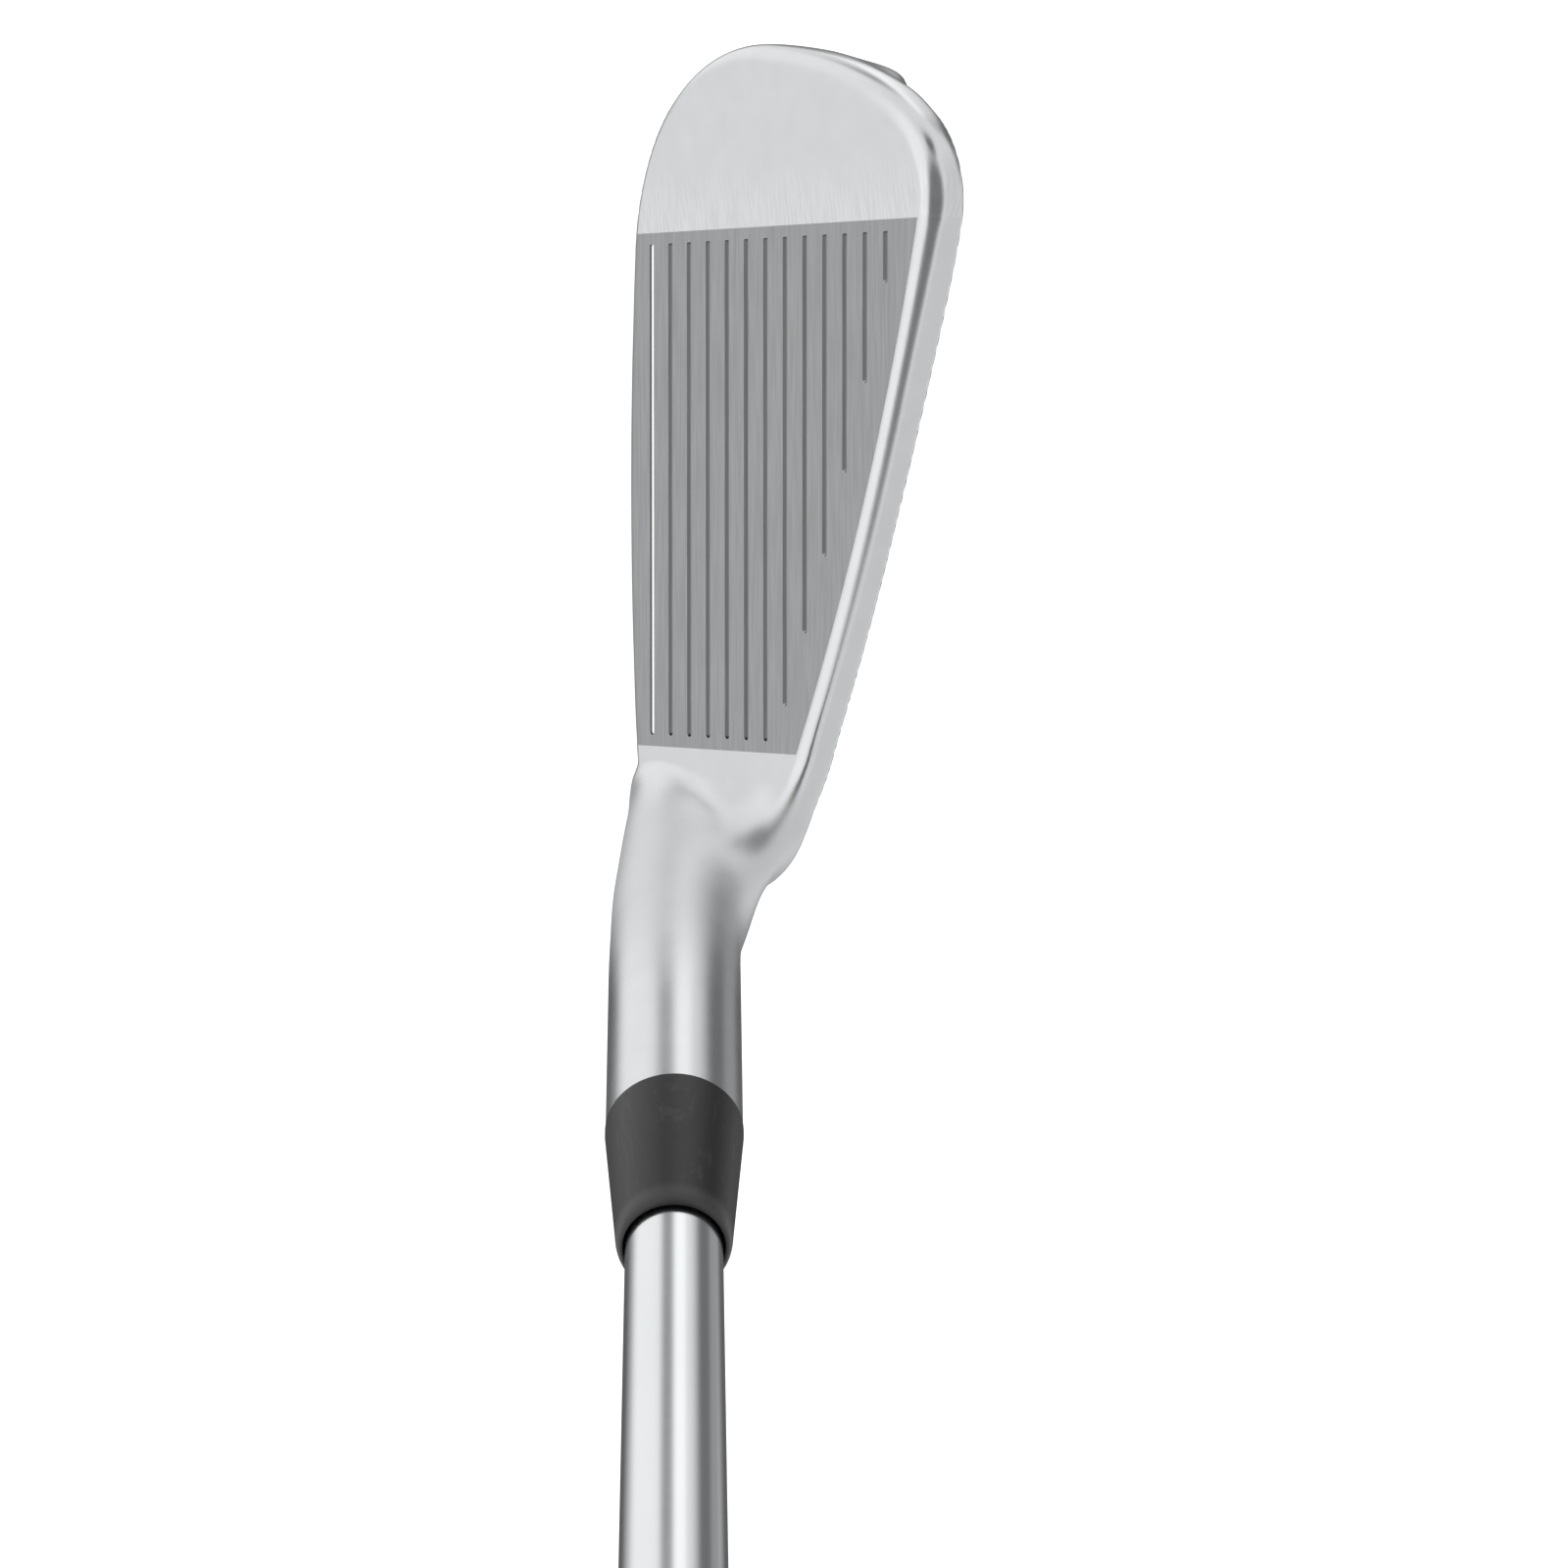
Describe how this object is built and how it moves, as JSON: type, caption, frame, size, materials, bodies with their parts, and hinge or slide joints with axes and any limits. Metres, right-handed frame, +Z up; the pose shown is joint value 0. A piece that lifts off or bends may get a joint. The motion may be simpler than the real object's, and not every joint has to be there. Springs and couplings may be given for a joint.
{
  "type": "iron golf club",
  "caption": "Right-handed cavity-back golf iron at address: satin cast head with a grooved face plate, black ferrule, stepped chrome shaft and black rubber grip.",
  "frame": {"origin": "the point of the sole that touches the ground below the middle of the face, with the club at address", "axes": "+Z up; +Y from the heel to the toe; +X away from the target, so the face looks towards -X and up; the shaft rises towards -Y and +Z at the lie angle of 63 degrees"},
  "size_m": [0.0431, 0.5158, 0.8432],
  "materials": {
    "cast_steel": "satin pearl chrome over cast steel",
    "blasted_steel": "fine milled and media-blasted steel",
    "white_enamel": "white enamel paint fill",
    "elastomer": "matt black elastomer",
    "foam_adhesive": "white acrylic foam tape",
    "badge_aluminium": "brushed and clear anodised",
    "gunmetal": "dark anodised",
    "tungsten": "turned tungsten alloy",
    "brass": "turned brass",
    "cork": "natural cork",
    "epoxy": "cured amber epoxy",
    "ferrule_plastic": "black, lathe-turned and buffed to a satin",
    "chromed_steel": "polished chrome plate",
    "band_film": "plain satin printed film",
    "grip_tape": "cream crepe paper tape",
    "grip_rubber": "matt moulded rubber with fine ribbing"
  },
  "bodies": {
    "root": {"head_body": "cast_steel", "face_plate": "blasted_steel", "groove_paint": "white_enamel", "cavity_damper": "elastomer", "badge_tape": "foam_adhesive", "badge_plate": "badge_aluminium", "badge_bar": "gunmetal", "toe_weight": "tungsten", "sole_weight": "tungsten", "tip_weight": "brass", "tip_cork": "cork", "hosel_epoxy": "epoxy", "ferrule": "ferrule_plastic", "shaft": "chromed_steel", "shaft_band": "band_film", "grip_tape": "grip_tape", "grip": "grip_rubber", "grip_cap": "grip_rubber"}
  },
  "joints": []
}
